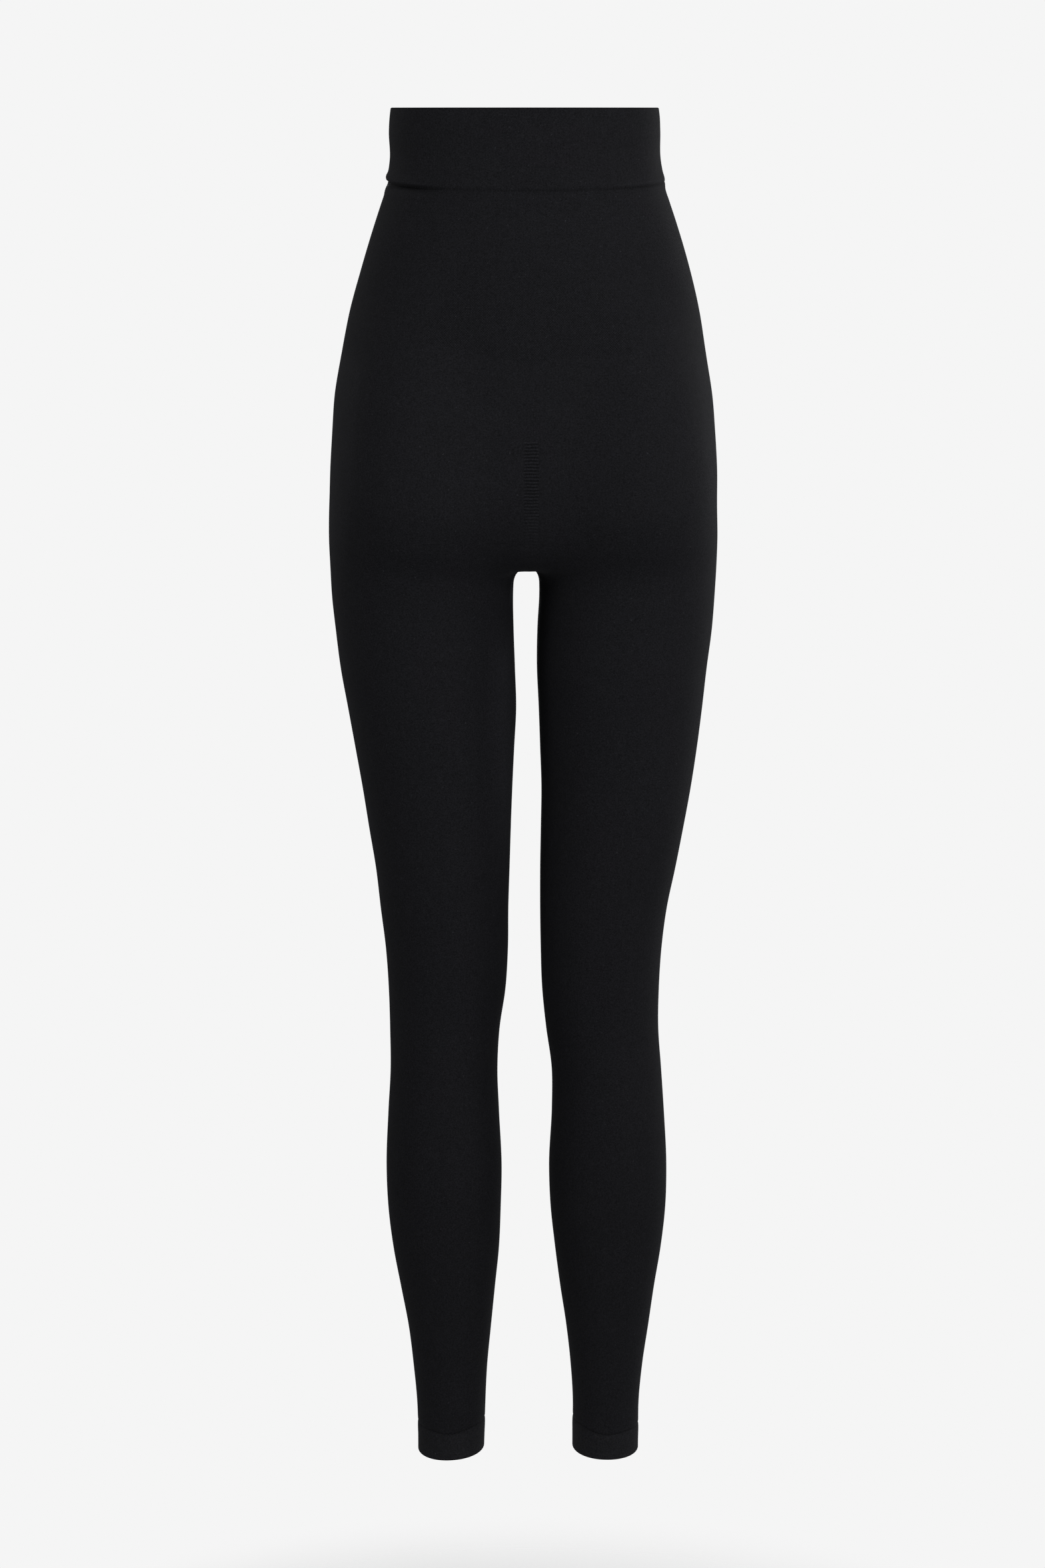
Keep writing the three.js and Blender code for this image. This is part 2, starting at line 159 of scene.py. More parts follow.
def smooth_columns(names, rows):
    """Each column of a section table at every millimetre of drop, on a smooth curve through its rows."""
    values = np.array(rows, float)
    at = values[:, 0]
    drops = np.arange(at[0], at[-1] + 0.5, 1.0)
    k = np.clip(np.searchsorted(at, drops, side="right") - 1, 0, len(at) - 2)
    step = np.diff(at)
    t = (drops - at[k]) / step[k]
    dense = {"drop": drops}
    for name, column in zip(names[1:], values.T[1:]):
        slope = np.diff(column) / step
        middle = (slope[:-1] * step[1:] + slope[1:] * step[:-1]) / (step[:-1] + step[1:])
        tangent = np.concatenate([slope[:1], middle, slope[-1:]])
        dense[name] = (
            (1 + 2 * t) * (1 - t) ** 2 * column[k]
            + t * (1 - t) ** 2 * step[k] * tangent[k]
            + t * t * (3 - 2 * t) * column[k + 1]
            + t * t * (t - 1) * step[k] * tangent[k + 1]
        )
    return dense


HIP = smooth_columns(HIP_NAMES, HIP_ROWS)
LEG = smooth_columns(LEG_NAMES, LEG_SECTION_ROWS)


def value_at(sections, name, drop):
    return np.interp(drop, sections["drop"], sections[name])


def smoothstep(x, low, high):
    t = np.clip((x - low) / (high - low), 0.0, 1.0)
    return t * t * (3.0 - 2.0 * t)


def power_norm(a, b, power):
    return (np.abs(a) ** power + np.abs(b) ** power) ** (1.0 / power)


def soft_min(a, b, width):
    """The smaller of two distances, with a soft join of the given width."""
    h = np.clip(width - np.abs(a - b), 0.0, None) / width
    return np.minimum(a, b) - h * h * width / 4.0


# The form: negative inside it, positive outside, roughly in millimetres


def leg_section(side, drop):
    """The middle's X and Y of a leg at a drop, half its width, and its reach forwards."""
    inner = value_at(LEG, "right_inner" if side > 0 else "left_inner", drop)
    outer = value_at(LEG, "right_outer" if side > 0 else "left_outer", drop)
    front = value_at(LEG, "front", drop)
    back = value_at(LEG, "back", drop)
    return side * (inner + outer) / 2, (front - back) / 2, (outer - inner) / 2, front


def leg_distance(side, x, y, drop):
    middle_x, middle_y, half, front = leg_section(side, drop)
    fade = 1.0 - smoothstep(drop, *FOLD_FADE)
    shift = np.clip(FOLD_SLOPE * side * (middle_x - x) * fade, -FOLD_REACH, FOLD_REACH)
    back = value_at(LEG, "back", drop - shift)
    dx, dy = x - middle_x, y - middle_y
    depth = np.where(dy > 0, front - middle_y, back + middle_y)
    distance = np.hypot(dx, dy)
    return distance - distance / np.maximum(power_norm(dx / half, dy / depth, LEG_POWER), 1e-6)


def hip_distance(x, y, drop):
    front = value_at(HIP, "front", drop)
    back = value_at(HIP, "back", drop)
    dx = x - value_at(HIP, "centre", drop)
    dy = y - (front - back) / 2
    below = np.clip(drop - BOWL_TOP, 0.0, None)
    flat = power_norm(dx / value_at(HIP, "half", drop), dy * 2 / (front + back), HIP_POWER)
    roundness = power_norm(flat, below / (CROTCH - BOWL_TOP), BOWL_POWER)
    distance = np.sqrt(dx * dx + dy * dy + below * below)
    return distance - distance / np.maximum(roundness, 1e-6)


def form_distance(x, y, drop):
    legs = soft_min(leg_distance(-1, x, y, drop), leg_distance(1, x, y, drop), LEG_BLEND)
    return soft_min(legs, hip_distance(x, y, drop), HIP_BLEND)


def surface_points(start, direction, reach=RAY_REACH):
    """Where rays from points inside leave the form. Points are rows of x, y and drop."""
    direction = direction / np.linalg.norm(direction, axis=-1, keepdims=True)
    near = np.zeros(direction.shape[:-1])
    far = near + reach
    for _ in range(RAY_STEPS):
        middle = (near + far) / 2
        point = start + direction * middle[..., None]
        inside = form_distance(point[..., 0], point[..., 1], point[..., 2]) < 0
        near = np.where(inside, middle, near)
        far = np.where(inside, far, middle)
    return start + direction * far[..., None]


def packed(x, y, drop):
    """Rows of x, y and drop from three arrays."""
    return np.stack(np.broadcast_arrays(x, y, drop), axis=-1).astype(float)


# Rings round the hip. Column 0 is the centre back and column HALF the centre front


def hip_angles():
    t = np.arange(HIP_COLUMNS) / HALF
    return math.pi * (t - COLUMN_CROWDING * np.sin(2 * math.pi * t) / (2 * math.pi) - 0.5)


def band_seam(angles):
    return BAND_SEAM_FRONT + BAND_SEAM_DIP * ((1 - np.sin(angles)) / 2) ** 2


def hip_rows(drops):
    """The form's points on rings round the hip, one row for each row of drops."""
    angles = hip_angles()[None, :] + 0 * drops
    start = packed(0.0, HIP_MIDDLE, drops)
    return surface_points(start, packed(HIP_ASPECT * np.cos(angles), np.sin(angles), 0 * drops))


# Rings round a leg. Their angle is 0 at the inside of the leg, and column 0 is the corner between
# its inside and its back. The columns run round the back, the outside and the front


def leg_angles():
    return -math.pi / 4 - 2 * math.pi * np.arange(LEG_COLUMNS) / LEG_COLUMNS


def thigh_ring(side):
    return THIGH_RING[side] + THIGH_TILT[side] * np.cos(leg_angles())


def leg_points(side, angles, drops):
    middle_x, middle_y, half, front = leg_section(side, drops)
    direction = packed(-side * np.cos(angles) * half, np.sin(angles) * (front - middle_y), 0 * drops)
    inward = -side * direction[..., 0] / np.linalg.norm(direction, axis=-1)
    reach = np.minimum(np.abs(middle_x) / np.maximum(inward, 1e-6), RAY_REACH)
    return surface_points(packed(middle_x, middle_y, drops), direction, reach)


def angles_of(side, points, expected):
    """The angles round a leg of points that are already there, near the expected ones."""
    middle_x, middle_y, half, front = leg_section(side, points[..., 2])
    angles = np.arctan2(
        (points[..., 1] - middle_y) / (front - middle_y),
        -side * (points[..., 0] - middle_x) / half,
    )
    return angles + 2 * math.pi * np.round((expected - angles) / (2 * math.pi))


# Creases and seams

# How far backwards or forwards a face's creases appear, and the share of a crease's length over
# which it fades
FACING_EDGE = (-4.0, 22.0)
CREASE_FADE = (-0.1, 0.35)

# Soft troughs, with a height below zero, and ridges. Each runs along a straight line and fades out
# at both ends
CREASE_NAMES = ("x0", "drop0", "x1", "drop1", "width", "height")
BACK_CREASES = (
    (-93, 229, -17, 226, 4.5, -0.45),
    (-60, 276, -6, 277, 3.5, -0.45),
    (-92, 238, -93, 272, 6.0, 0.30),
    (4, 118, 3, 258, 5.0, 0.34),
    (-112, 284, -122, 299, 2.4, -0.35),
    (-9, 257, -30, 255, 2.0, -0.26),
    (-8, 263, -38, 264, 2.2, -0.28),
    (-9, 270, -26, 271, 1.9, -0.22),
    (-8, 285, -33, 284, 2.1, -0.25),
    (-9, 293, -22, 294, 2.0, -0.20),
    (-8, 303, -18, 303, 1.8, -0.16),
    (8, 259, 27, 257, 2.1, -0.22),
    (9, 267, 43, 266, 2.2, -0.25),
    (8, 275, 24, 276, 1.9, -0.20),
    (9, 284, 36, 285, 2.2, -0.22),
    (9, 296, 20, 296, 1.8, -0.16),
    (60, 243, 104, 240, 6.0, -0.25),
    (-70, 388, -26, 402, 6.0, -0.30),
    (34, 398, 80, 384, 6.0, -0.30),
)
FRONT_CREASES = (
    (-80, 214, -12, 219, 5.0, -0.40),
    (18, 226, 88, 221, 5.0, -0.40),
    (-52, 262, -8, 268, 4.0, -0.40),
    (10, 274, 49, 268, 4.0, -0.35),
    (0, 130, 1, 240, 5.0, 0.25),
    (-10, 352, -47, 330, 4.0, -0.55),
    (-12, 362, -62, 350, 4.5, -0.50),
    (10, 352, 43, 328, 4.0, -0.50),
    (12, 363, 66, 352, 4.5, -0.55),
    (-96, 742, -42, 750, 6.0, -0.50),
    (-100, 772, -50, 768, 6.0, -0.45),
    (-92, 798, -44, 806, 5.0, -0.35),
    (40, 748, 92, 741, 6.0, -0.45),
    (46, 770, 98, 775, 6.0, -0.50),
    (42, 806, 88, 799, 5.0, -0.35),
    (-84, 1046, -46, 1051, 4.0, -0.35),
    (48, 1052, 84, 1046, 4.0, -0.35),
    (-80, 1062, -52, 1060, 3.0, -0.30),
    (52, 1061, 80, 1064, 3.0, -0.30),
)

# Waves of the waistband, as seen from the back and, guessed, from the front
BACK_WAVES = (
    (2, 15, 44, 12, 5.0, -0.30),
    (38, 36, 78, 31, 4.5, -0.35),
    (62, 20, 98, 22, 5.0, 0.30),
    (-92, 18, -58, 15, 6.0, -0.25),
    (-40, 38, -6, 41, 7.0, 0.25),
)
FRONT_WAVES = (
    (-74, 21, -30, 17, 5.0, -0.30),
    (8, 33, 60, 37, 5.0, -0.30),
    (-36, 42, 10, 40, 6.0, 0.25),
)

# Where the waistband's seam folds in and where it stands up, in X. The fold's way round to the front
# is in distances backwards
SEAM_FOLD_ENDS = (-98.0, -56.0)
SEAM_FOLD_ROUND = (-26.0, -8.0)
SEAM_RIDGE_STARTS = (58.0, 84.0)
SEAM_RIDGE_ENDS = (102.0, 109.0)

# Profiles of the seams: humps at distances from the seam. Distances are downwards on the body, in
# the shade and on the hem, and upwards on the waistband
PROFILE_NAMES = ("where", "distance", "width", "height")
BODY_AT_WAIST_SEAM = (
    ("all round", 0.0, 0.9, -0.5),
    ("fold", 1.2, 2.0, -2.4),
    ("fold", 7.5, 3.0, 0.7),
)
BAND_AT_WAIST_SEAM = (
    ("all round", 4.0, 3.0, 0.25),
    ("all round", 0.0, 0.9, -0.5),
    ("fold", 3.5, 3.0, 0.9),
    ("fold", 0.0, 0.9, -1.2),
    ("ridge", 2.6, 1.5, 0.55),
    ("ridge", 6.5, 2.0, -0.35),
)
SHADE_AT_WAIST_SEAM = (
    ("all round", 0.0, 0.8, 0.34),
    ("fold", 1.0, 1.9, 0.66),
    ("ridge", 0.5, 1.1, 0.22),
)
LIGHT_AT_WAIST_SEAM = (("fold or ridge", -2.6, 1.2, 0.42),)
LEG_AT_HEM_SEAM = (("all round", 0.0, 1.5, -0.45),)
HEM_AT_HEM_SEAM = (
    ("all round", 6.0, 5.0, 0.15),
    ("all round", 0.0, 1.3, -0.5),
)
SHADE_AT_HEM_SEAM = (("all round", 0.0, 0.7, 0.55),)
DEEPEST_SHADE = 0.85

# How far the hems' seams lie above their level in the solids, at places in X on the left leg and
# then on the right leg
HEM_SEAM_X = (
    -90, -80, -70, -62, -54, -47, -40, -35,
    38, 44, 50, 57, 65, 73, 80, 87, 92,
)
HEM_SEAM_LIFT = (
    1.5, 1.8, 0.4, 0.5, 2.6, 4.5, 5.4, 4.6,
    3.4, 3.4, 1.2, -0.8, -1.7, -1.3, -0.5, -0.6, -1.8,
)

LADDER_TOP = 252.5
LADDER_END = 339.0
LADDER_HALF_WIDTH = 5.8
LADDER_BARS = 34
LADDER_WALES = 10
LADDER_BED = 0.55
LADDER_BED_STARTS = (250.5, 254.5)
LADDER_BED_ENDS = (336.0, 341.0)
LADDER_EDGE = (-0.6, 1.4)
PUCKER_HEIGHT = 0.18
PUCKER_PITCH = 4.9
PUCKER_PLACE = 2.4
PUCKER_WIDTH = 2.2


def hump(x, width):
    return np.exp(-((x / width) ** 2))


def between(x, start, end):
    """1 between two edges and 0 past them. Each edge is soft over its own pair of places."""
    return smoothstep(x, *start) * (1.0 - smoothstep(x, *end))


def facing(points):
    """How far each point belongs to the back and to the front, from 0 to 1."""
    back = smoothstep(-points[:, 1], *FACING_EDGE)
    front = smoothstep(points[:, 1], *FACING_EDGE)
    return {"back": back, "front": front}


def crease_heights(points, on_back, on_front):
    """The height of all the creases at each point, in millimetres."""
    x, drop = points[:, 0], points[:, 2]
    creases = {"back": on_back, "front": on_front}
    height = np.zeros(len(points))
    for face, share in facing(points).items():
        for row in creases[face]:
            crease = dict(zip(CREASE_NAMES, row))
            run = np.array([crease["x1"] - crease["x0"], crease["drop1"] - crease["drop0"]], float)
            length = np.hypot(*run)
            dx, dy = x - crease["x0"], drop - crease["drop0"]
            along = (dx * run[0] + dy * run[1]) / length ** 2
            across = (dx * run[1] - dy * run[0]) / length
            taper = smoothstep(along, *CREASE_FADE) * smoothstep(1.0 - along, *CREASE_FADE)
            height += share * crease["height"] * taper * hump(across, crease["width"])
    return height


def seam_fold(points):
    """Where the waistband's lower edge stands off the body, at the left of the back."""
    around = smoothstep(-points[:, 1], *SEAM_FOLD_ROUND)
    return around * (1.0 - smoothstep(points[:, 0], *SEAM_FOLD_ENDS))


def seam_ridge(points):
    """Where the waistband's lower edge stands up as a thin ridge, at the right of the back."""
    return between(points[:, 0], SEAM_RIDGE_STARTS, SEAM_RIDGE_ENDS) * facing(points)["back"]


def seam_profile(points, distance, profile):
    """The summed humps of a seam's profile at distances from the seam."""
    fold, ridge = seam_fold(points), seam_ridge(points)
    share = {"all round": 1.0, "fold": fold, "ridge": ridge, "fold or ridge": np.maximum(fold, ridge)}
    height = np.zeros(len(points))
    for row in profile:
        part = dict(zip(PROFILE_NAMES, row))
        height += share[part["where"]] * part["height"] * hump(distance - part["distance"], part["width"])
    return height


def seam_at(points):
    """The drop of the waistband's seam beside each point."""
    back = (1.0 - points[:, 1] / np.hypot(points[:, 0] / HIP_ASPECT, points[:, 1] - HIP_MIDDLE)) / 2
    return BAND_SEAM_FRONT + BAND_SEAM_DIP * np.clip(back, 0.0, 1.0) ** 2


def hem_seam_at(x):
    """The drop of a hem's seam at each x: both seams rise towards the inner side of the leg."""
    return HEM_SEAM - np.interp(x, HEM_SEAM_X, HEM_SEAM_LIFT)


def hem_seam(side, angles):
    """The drop of a leg's hem seam at each angle."""
    return hem_seam_at(leg_points(side, angles, np.full(len(angles), HEM_SEAM))[:, 0])


def ladder_bed(points):
    """The trough under the ladder strip, with small puckers down both sides of it."""
    x, drop = points[:, 0], points[:, 2]
    past_edge = np.abs(x) - LADDER_HALF_WIDTH
    bed = between(drop, LADDER_BED_STARTS, LADDER_BED_ENDS)
    strip = 1.0 - smoothstep(past_edge, *LADDER_EDGE)
    pucker = np.sin(2 * math.pi * (drop - LADDER_TOP) / PUCKER_PITCH + 0.9 * np.sin(drop / 7.0))
    pucker = PUCKER_HEIGHT * pucker * hump(past_edge - PUCKER_PLACE, PUCKER_WIDTH)
    return facing(points)["back"] * bed * (pucker - LADDER_BED * strip)


def body_relief(points):
    """How far the body and the legs stand off the form, in millimetres."""
    x, drop = points[:, 0], points[:, 2]
    height = crease_heights(points, BACK_CREASES, FRONT_CREASES)
    height += seam_profile(points, drop - seam_at(points), BODY_AT_WAIST_SEAM)
    height += seam_profile(points, drop - hem_seam_at(x), LEG_AT_HEM_SEAM)
    return height + ladder_bed(points)


def band_relief(points):
    """How far the waistband stands off the form, in millimetres."""
    above = seam_at(points) - points[:, 2]
    waves = crease_heights(points, BACK_WAVES, FRONT_WAVES)
    return waves + seam_profile(points, above, BAND_AT_WAIST_SEAM)


def hem_relief(points):
    """How far a hem stands off the form, in millimetres."""
    return seam_profile(points, points[:, 2] - hem_seam_at(points[:, 0]), HEM_AT_HEM_SEAM)


def seam_shade(points):
    """How deep the seams' dark lines and the painted shade in their grooves and folds are. Below zero it is
    a painted highlight where the cloth catches light.
    """
    x, drop = points[:, 0], points[:, 2]
    below = drop - seam_at(points)
    shade = seam_profile(points, below, SHADE_AT_WAIST_SEAM)
    shade += seam_profile(points, drop - hem_seam_at(x), SHADE_AT_HEM_SEAM)
    return np.clip(shade, 0.0, DEEPEST_SHADE) - seam_profile(points, below, LIGHT_AT_WAIST_SEAM)


# Knit zones: the hip's finer knit above the seat, and the shaping knit under it and down the flanks.
# Their edges on the back are drops at places in X

PANEL_EDGE_X = (-150, -120, -82, -45, -20, 0, 20, 40, 61, 122, 150)
PANEL_EDGE_DROP = (191, 185, 180, 185, 190, 196, 190, 189, 187, 188, 191)
PANEL_EDGE_FRONT = 191.0
PANEL_EDGE_SOFT = 1.2
PANEL_FAINT = 0.3
PANEL_STARTS = (92.0, 165.0)
PANEL_SIDE_DROP = 136.0
PANEL_SIDE = {-1: 66.0, 1: 58.0}
PANEL_SIDE_SLOPE = {-1: 0.5, 1: 0.4}
PANEL_SIDE_SOFT = 8.0

SHAPING_EDGE_X = (-150, -137, -121, -85, -35, -15, 8, 33, 76, 98, 130, 150)
SHAPING_EDGE_DROP = (296, 322, 341, 352, 366, 374, 374, 360, 348, 335, 322, 300)
SHAPING_EDGE_SOFT = 1.5
SHAPING_FAINT = 0.3
SHAPING_REACH = 150.0
FLANK_TOP = (190.0, 193.0)
FLANK_DROP = 192.0
FLANK_EDGE = (129.0, 133.0)
FLANK_SLOPE = 0.08


def panel_zone(points):
    """How clear the finer knit's pattern is, from 0 to 1."""
    x, drop = points[:, 0], points[:, 2]
    back = facing(points)["back"]
    edge = back * np.interp(x, PANEL_EDGE_X, PANEL_EDGE_DROP) + (1.0 - back) * PANEL_EDGE_FRONT
    inside = 1.0 - smoothstep(drop - edge, -PANEL_EDGE_SOFT, PANEL_EDGE_SOFT)
    below = drop - PANEL_SIDE_DROP
    left, right = (PANEL_SIDE[side] + PANEL_SIDE_SLOPE[side] * below for side in (-1, 1))
    side_edge = np.where(x < 0, left, right)
    middle = 1.0 - smoothstep(np.abs(x) - side_edge, -PANEL_SIDE_SOFT, PANEL_SIDE_SOFT)
    return inside * (PANEL_FAINT + (1.0 - PANEL_FAINT) * smoothstep(drop, *PANEL_STARTS) * middle)


def shaping_zone(points):
    """How far each point lies in the lighter shaping knit, from 0 to 1."""
    x, drop = points[:, 0], points[:, 2]
    spread = np.clip(np.abs(x) / SHAPING_REACH, 0.0, 1.0)
    left, right = (THIGH_RING[side] + THIGH_TILT[side] * (1.0 - 2.0 * spread) for side in (-1, 1))
    lower = np.where(x < 0, left, right)
    upper = np.interp(x, SHAPING_EDGE_X, SHAPING_EDGE_DROP)
    under = smoothstep(drop - upper, -SHAPING_EDGE_SOFT, SHAPING_EDGE_SOFT)
    flank = smoothstep(np.abs(x) - (drop - FLANK_DROP) * FLANK_SLOPE, *FLANK_EDGE)
    flank = flank * smoothstep(drop, *FLANK_TOP)
    above_thigh = 1.0 - smoothstep(drop - lower, -SHAPING_EDGE_SOFT, SHAPING_EDGE_SOFT)
    return np.maximum(SHAPING_FAINT * under, flank) * above_thigh


# Painted light and shade on the legs: a painted pool of light inside the left thigh, painted light on the
# edge below it, and painted shade on the calves.
# Each place is a pair between which a tone fades in or out
PAINTED_PATCH_LIGHT = 2.2
PATCH_X = (-46.0, -30.0)
PATCH_Y = ((-34.0, -29.0), (4.0, 16.0))
PATCH_DROP = ((363.0, 369.0), (380.0, 392.0))
PAINTED_EDGE_LIGHT = 0.55
EDGE_X = (-38.0, -16.0)
EDGE_DROP = ((392.0, 440.0), (520.0, 640.0))
INSIDE_LEFT = (0.0, 4.0)
PAINTED_CALF_SHADE = 0.11
CALF_DROP = (520.0, 800.0)


def leg_painted_light_and_shade(points):
    """How much painted light, or below zero painted shade, makes the cloth of the legs lighter or darker
    than the rest.
    """
    x, y, drop = points.T
    # A painted pool of light inside the left thigh, painted light down its inner edge, and painted shade on
    # the calves
    painted_light_patch = smoothstep(x, *PATCH_X) * between(y, *PATCH_Y) * between(drop, *PATCH_DROP)
    edge = smoothstep(x, *EDGE_X) * between(drop, *EDGE_DROP)
    left = smoothstep(-x, *INSIDE_LEFT)
    return left * (PAINTED_PATCH_LIGHT * painted_light_patch + PAINTED_EDGE_LIGHT * edge) - PAINTED_CALF_SHADE * smoothstep(drop, *CALF_DROP)


# Surfaces: joined outer points, from which thin shells are cut


def to_metres(points):
    return np.column_stack([points[:, 0], points[:, 1], WAIST_TOP - points[:, 2]]) * MM


def form_normals(points):
    """The form's outward direction at rows of x, y and drop, as x, y and z."""
    x, y, drop = points.T
    step = NORMAL_STEP
    normals = np.column_stack([
        form_distance(x + step, y, drop) - form_distance(x - step, y, drop),
        form_distance(x, y + step, drop) - form_distance(x, y - step, drop),
        form_distance(x, y, drop - step) - form_distance(x, y, drop + step),
    ])
    return normals / np.linalg.norm(normals, axis=1, keepdims=True)


def vertex_normals(points, quads):
    corners = points[quads]
    cross = np.cross(corners[:, 2] - corners[:, 0], corners[:, 3] - corners[:, 1])
    normals = np.zeros_like(points)
    for corner in range(4):
        np.add.at(normals, quads[:, corner], cross)
    return normals / np.maximum(np.linalg.norm(normals, axis=1, keepdims=True), 1e-12)


class Surface:
    """Rows of outer points, the four-sided faces of each piece between them, and its open rims."""

    def __init__(self):
        self.blocks = []
        self.across = []
        self.around = []
        self.count = 0
        self.quads = {}
        self.rims = {}

    def add(self, points, side=1, turnover=0.5):
        """Adds closed rows of points and returns their numbers in the same layout. The distance
        along a row grows towards one side, and starts again below zero at the turnover."""
        step = np.linalg.norm(np.roll(points, -1, axis=-2) - points, axis=-1)
        total = step.sum(axis=-1, keepdims=True)
        across = np.cumsum(step, axis=-1) - step
        across = side * np.where(across > total * turnover, across - total, across)
        numbers = self.count + np.arange(step.size).reshape(step.shape)
        self.blocks.append(points.reshape(-1, 3))
        self.across.append(across.reshape(-1))
        self.around.append((total + 0 * step).reshape(-1))
        self.count += step.size
        return numbers

    def band(self, piece, upper, lower, turned=False):
        """Faces between two closed rows, counterclockwise from outside."""
        ahead_upper, ahead_lower = np.roll(upper, -1), np.roll(lower, -1)
        if turned:
            corners = (upper, ahead_upper, ahead_lower, lower)
        else:
            corners = (upper, lower, ahead_lower, ahead_upper)
        self.quads.setdefault(piece, []).append(np.column_stack(corners))

    def rim(self, piece, loop):
        """An open edge, as a loop of points with the cloth on its right, seen from outside."""
        self.rims.setdefault(piece, []).append(np.asarray(loop))

    def finish(self, relief):
        """Moves the points by the relief and works out the normals of the whole surface."""
        points = np.concatenate(self.blocks)
        self.form_points = points
        self.points = to_metres(points) + form_normals(points) * (relief(points) * MM)[:, None]
        quads = np.concatenate([block for blocks in self.quads.values() for block in blocks])
        self.normals = vertex_normals(self.points, quads)
        self.across = np.concatenate(self.across) * MM
        self.around = np.concatenate(self.around) * MM

    def shell(self, piece, name, thickness, zones=None):
        """A closed thin shell of one piece, with its inner face moved in by the thickness."""
        quads = np.concatenate(self.quads[piece])
        used, quads = np.unique(quads, return_inverse=True)
        quads = quads.reshape(-1, 4)
        count = len(used)
        outer, normals = self.points[used], self.normals[used]
        inner = outer - normals * thickness * MM
        place = {number: index for index, number in enumerate(used)}
        faces = [quads, quads[:, ::-1] + count]
        for loop in self.rims.get(piece, []):
            a = np.array([place[number] for number in loop])
            b = np.roll(a, -1)
            faces.append(np.column_stack([a, b, b + count, a + count]))
        form_points = self.form_points[used]
        values = {key: np.tile(zone(form_points), 2) for key, zone in (zones or {}).items()}
        return make_mesh(
            name,
            np.concatenate([outer, inner]),
            np.concatenate(faces),
            np.concatenate([normals, -normals]),
            across=np.tile(self.across[used], 2),
            around=np.tile(self.around[used], 2),
            values=values,
        )


def make_mesh(name, points, faces, normals, across, around, values):
    """A smooth mesh object with its knit coordinates and its zones."""
    mesh = bpy.data.meshes.new(name)
    mesh.from_pydata(points, [], faces.tolist())
    mesh.polygons.foreach_set("use_smooth", np.ones(len(faces), bool))
    u = across[faces]
    wrapped = np.ptp(u, axis=1, keepdims=True) > 0.5 * around[faces].min(axis=1, keepdims=True)
    u = np.where(wrapped & (u < u.mean(axis=1, keepdims=True)), u + around[faces], u)
    v = points[:, 2][faces] - WAIST_TOP * MM
    knit_places = np.stack([u, v], axis=-1) + KNIT_ORIGIN
    uv = mesh.uv_layers.new(name="knit")
    uv.data.foreach_set("uv", knit_places.astype(np.float32).ravel())
    for key, value in values.items():
        layer = mesh.attributes.new(key, "FLOAT", "POINT")
        layer.data.foreach_set("value", value.astype(np.float32))
    mesh.update()
    mesh.normals_split_custom_set_from_vertices(normals)
    piece = bpy.data.objects.new(name, mesh)
    bpy.context.scene.collection.objects.link(piece)
    return piece


def add_hip(surface):
    """The hip tube from the waistband's seam to the saddle. Returns its last ring, with its numbers."""
    fractions = np.linspace(0.0, 1.0, BODY_ROWS + 1)[:, None] ** SEAM_CROWDING
    top = band_seam(hip_angles())[None, :]
    rings = hip_rows(top + (SADDLE_TOP - top) * fractions)
    numbers = surface.add(rings)
    for upper, lower in zip(numbers[:-1], numbers[1:]):
        surface.band("body", upper, lower)
    surface.rim("body", numbers[0])
    return rings[-1], numbers[-1]


def add_saddle(surface):
    """The row of points under the crotch, from the back to the front, that both legs start from."""
    steps = math.pi * np.arange(1, SADDLE_STEPS) / SADDLE_STEPS
    saddle = surface_points(
        packed(0.0, HIP_MIDDLE, SADDLE_TOP + 0 * steps),
        packed(0.0, -SADDLE_ASPECT * np.cos(steps), np.sin(steps)),
    )
    return saddle, surface.add(saddle)


def add_crotch(surface, side, start, numbers):
    """The body's rows from half the hip and the saddle down to a thigh ring. Returns the last row."""
    turned = side < 0
    target = leg_angles()
    from_angles = angles_of(side, start, target)
    inside = smoothstep(np.cos(target), *SADDLE_INSIDE)
    ring = thigh_ring(side)
    previous = numbers
    for row in range(1, CROTCH_ROWS + 1):
        t = row / CROTCH_ROWS
        turn = smoothstep(t, 0.0, 1.0)
        crowded = t ** (1.0 + (SADDLE_CROWDING - 1.0) * inside)
        drops = start[:, 2] + (ring - start[:, 2]) * crowded
        points = leg_points(side, from_angles + (target - from_angles) * turn, drops)
        current = surface.add(points, side, LEG_TURNOVER)
        surface.band("body", previous, current, turned)
        previous = current
    surface.rim("body", previous if turned else previous[::-1])
    return previous


def add_leg(surface, side, leg, previous):
    """A leg's rows from its thigh ring, which is there already, to the hem's seam."""
    turned = side < 0
    angles = leg_angles()
    ring = thigh_ring(side)[None, :]
    seam = hem_seam(side, angles)[None, :]
    fractions = 1.0 - np.linspace(1.0, 0.0, LEG_ROWS + 1)[1:, None] ** SEAM_CROWDING
    drops = ring + (seam - ring) * fractions
    rows = surface.add(leg_points(side, angles[None, :] + 0 * drops, drops), side, LEG_TURNOVER)
    for upper, lower in zip([previous, *rows[:-1]], rows):
        surface.band(leg, upper, lower, turned)
    surface.rim(leg, previous[::-1] if turned else previous)
    surface.rim(leg, rows[-1] if turned else rows[-1][::-1])


